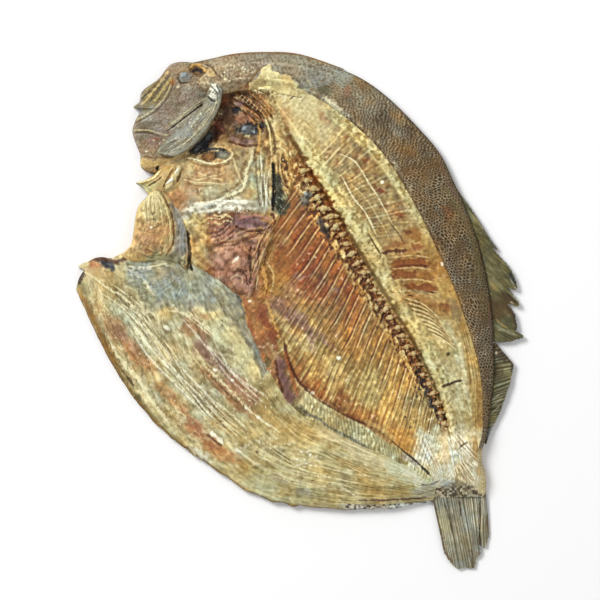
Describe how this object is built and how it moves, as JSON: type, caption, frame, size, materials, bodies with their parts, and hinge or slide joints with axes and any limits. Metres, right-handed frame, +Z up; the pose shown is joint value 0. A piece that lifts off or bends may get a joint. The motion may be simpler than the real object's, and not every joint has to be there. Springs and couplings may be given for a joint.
{
  "type": "dried flounder",
  "caption": "Whole dried flounder, split along the back and opened flat, flesh side up, with backbone, ribs, head, skin margin and fins.",
  "frame": {"origin": "centre of the bounding box, at the table the fish lies on", "axes": "+Y from the tail fin to the head, +X towards the back fin, +Z up from the table through the cut flesh"},
  "size_m": [0.2239, 0.2596, 0.0143],
  "materials": {
    "flesh": "dried fish flesh: tan to cream, satin, finely fibrous, with grey-brown scaly skin and olive fins"
  },
  "bodies": {
    "root": {"flounder": "flesh"}
  },
  "joints": []
}
